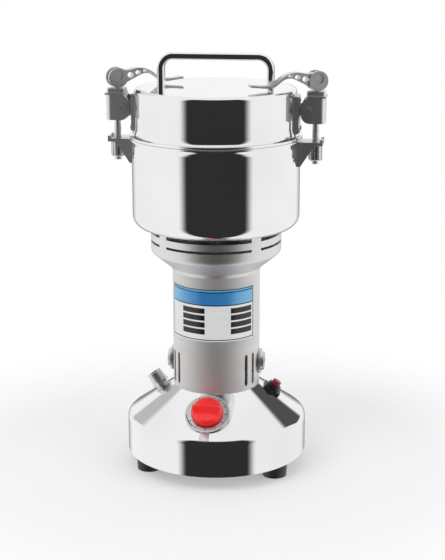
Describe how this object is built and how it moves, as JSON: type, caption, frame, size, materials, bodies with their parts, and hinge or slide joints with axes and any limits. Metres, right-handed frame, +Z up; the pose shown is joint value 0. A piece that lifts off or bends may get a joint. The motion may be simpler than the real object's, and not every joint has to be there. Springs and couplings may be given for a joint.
{
  "type": "hammer mill",
  "caption": "Swing-blade dry grinder: tube motor on a spun steel base, grinding bowl with a lift-off lid held by two cam-lever clamps.",
  "frame": {"origin": "middle of the footprint on the floor, on the motor axis", "axes": "+Z up along the motor axis, -Y towards the front with the timer knob, +X and -X through the two lid clamps"},
  "size_m": [0.1682, 0.14, 0.322],
  "materials": {
    "polished_steel": "mirror polished stainless steel",
    "bracket_steel": "polished pressed steel",
    "nut_steel": "turned and knurled",
    "cast_chrome": "cast and plated",
    "brushed_tube": "brushed lengthwise round the tube",
    "dial_aluminium": "satin",
    "label_film": "printed metallic film",
    "red_knob": "moulded",
    "red_button": "moulded",
    "black_plastic": "moulded",
    "black_rubber": "moulded",
    "silicone": "soft, milky",
    "plate_steel": "pressed",
    "bearing_steel": "ground",
    "blade_steel": "ground and tempered",
    "core_iron": "laminated",
    "copper": "enamelled wire",
    "brush_brass": "drawn",
    "carbon": "pressed carbon",
    "spring_steel": "wire"
  },
  "bodies": {
    "housing": {"base_shell": "polished_steel", "bearing_cup": "polished_steel", "vent_ring": "polished_steel", "grinding_bowl": "polished_steel", "fork_brackets": "bracket_steel", "bowl_screws": "bracket_steel", "foot_screws": "bracket_steel", "panel_nuts": "bracket_steel", "cable_gland": "cast_chrome", "brush_caps": "cast_chrome", "motor_tube": "brushed_tube", "timer_dial_plate": "dial_aluminium", "rating_label": "label_film", "reset_switch_body": "black_plastic", "timer_body": "black_plastic", "rubber_feet": "black_rubber", "shaft_seal": "silicone", "base_plate": "plate_steel", "lower_bracket": "plate_steel", "upper_bracket": "plate_steel", "ball_bearings": "bearing_steel", "stator_core": "core_iron", "field_coils": "copper", "brush_holders": "brush_brass", "carbon_brushes": "carbon", "brush_springs": "spring_steel"},
    "rotor": {"motor_shaft": "bearing_steel", "commutator": "copper", "rotor_core": "core_iron", "armature_windings": "copper", "cooling_fan": "dial_aluminium", "lower_blade": "blade_steel", "blade_spacer": "bearing_steel", "upper_blade": "blade_steel", "blade_nut": "nut_steel"},
    "timer_dial": {"timer_knob": "red_knob", "timer_shaft": "bearing_steel"},
    "reset": {"reset_button": "red_button"},
    "lid": {"lid_shell": "polished_steel", "lid_seal": "silicone", "lid_handle": "polished_steel", "handle_screws": "bracket_steel", "lid_brackets": "bracket_steel", "bracket_rivets": "bracket_steel"},
    "left_box": {"left_clamp_box": "bracket_steel", "left_pivot_screw": "bracket_steel", "left_saddle": "bracket_steel"},
    "left_bolt": {"left_draw_bolt": "bracket_steel", "left_cam_pin": "bracket_steel", "left_clamp_nut": "nut_steel"},
    "left_lever": {"left_cam_lever": "cast_chrome"},
    "right_box": {"right_clamp_box": "bracket_steel", "right_pivot_screw": "bracket_steel", "right_saddle": "bracket_steel"},
    "right_bolt": {"right_draw_bolt": "bracket_steel", "right_cam_pin": "bracket_steel", "right_clamp_nut": "nut_steel"},
    "right_lever": {"right_cam_lever": "cast_chrome"}
  },
  "joints": [
    {"name": "lid_lift", "type": "slide", "parent": "housing", "child": "lid", "axis": [0, 0, 1], "range_m": [0, 0.12]},
    {"name": "rotor_spin", "type": "hinge", "parent": "housing", "child": "rotor", "pos_m": [0, 0, 0.12], "axis": [0, 0, 1], "continuous": true},
    {"name": "timer_turn", "type": "hinge", "parent": "housing", "child": "timer_dial", "pos_m": [0, -0.049, 0.05464], "axis": [0, 0.5718, -0.8204], "range_deg": [0, 300]},
    {"name": "reset_press", "type": "slide", "parent": "housing", "child": "reset", "axis": [-0.5696, -0.0498, -0.8204], "range_m": [0, 0.003], "stiffness_N_per_m": 400},
    {"name": "left_box_swing", "type": "hinge", "parent": "lid", "child": "left_box", "pos_m": [-0.0698, 0, 0.281], "axis": [0, 1, 0], "range_deg": [0, 25]},
    {"name": "left_bolt_drop", "type": "slide", "parent": "left_box", "child": "left_bolt", "axis": [0, 0, -1], "range_m": [0, 0.0035]},
    {"name": "left_lever_open", "type": "hinge", "parent": "left_bolt", "child": "left_lever", "pos_m": [-0.0753, 0, 0.30525], "axis": [0.4848, -0.8746, 0], "range_deg": [0, 150]},
    {"name": "right_box_swing", "type": "hinge", "parent": "lid", "child": "right_box", "pos_m": [0.0698, 0, 0.281], "axis": [0, -1, 0], "range_deg": [0, 25]},
    {"name": "right_bolt_drop", "type": "slide", "parent": "right_box", "child": "right_bolt", "axis": [0, 0, -1], "range_m": [0, 0.0035]},
    {"name": "right_lever_open", "type": "hinge", "parent": "right_bolt", "child": "right_lever", "pos_m": [0.0753, 0, 0.30525], "axis": [-0.4226, 0.9063, 0], "range_deg": [0, 150]}
  ],
  "couplings": [
    {"joint": "left_box_swing", "follows": "left_bolt_drop", "rad_per_m": 124.66},
    {"joint": "left_lever_open", "follows": "left_bolt_drop", "rad_per_m": 747.99},
    {"joint": "right_box_swing", "follows": "right_bolt_drop", "rad_per_m": 124.66},
    {"joint": "right_lever_open", "follows": "right_bolt_drop", "rad_per_m": 747.99}
  ]
}
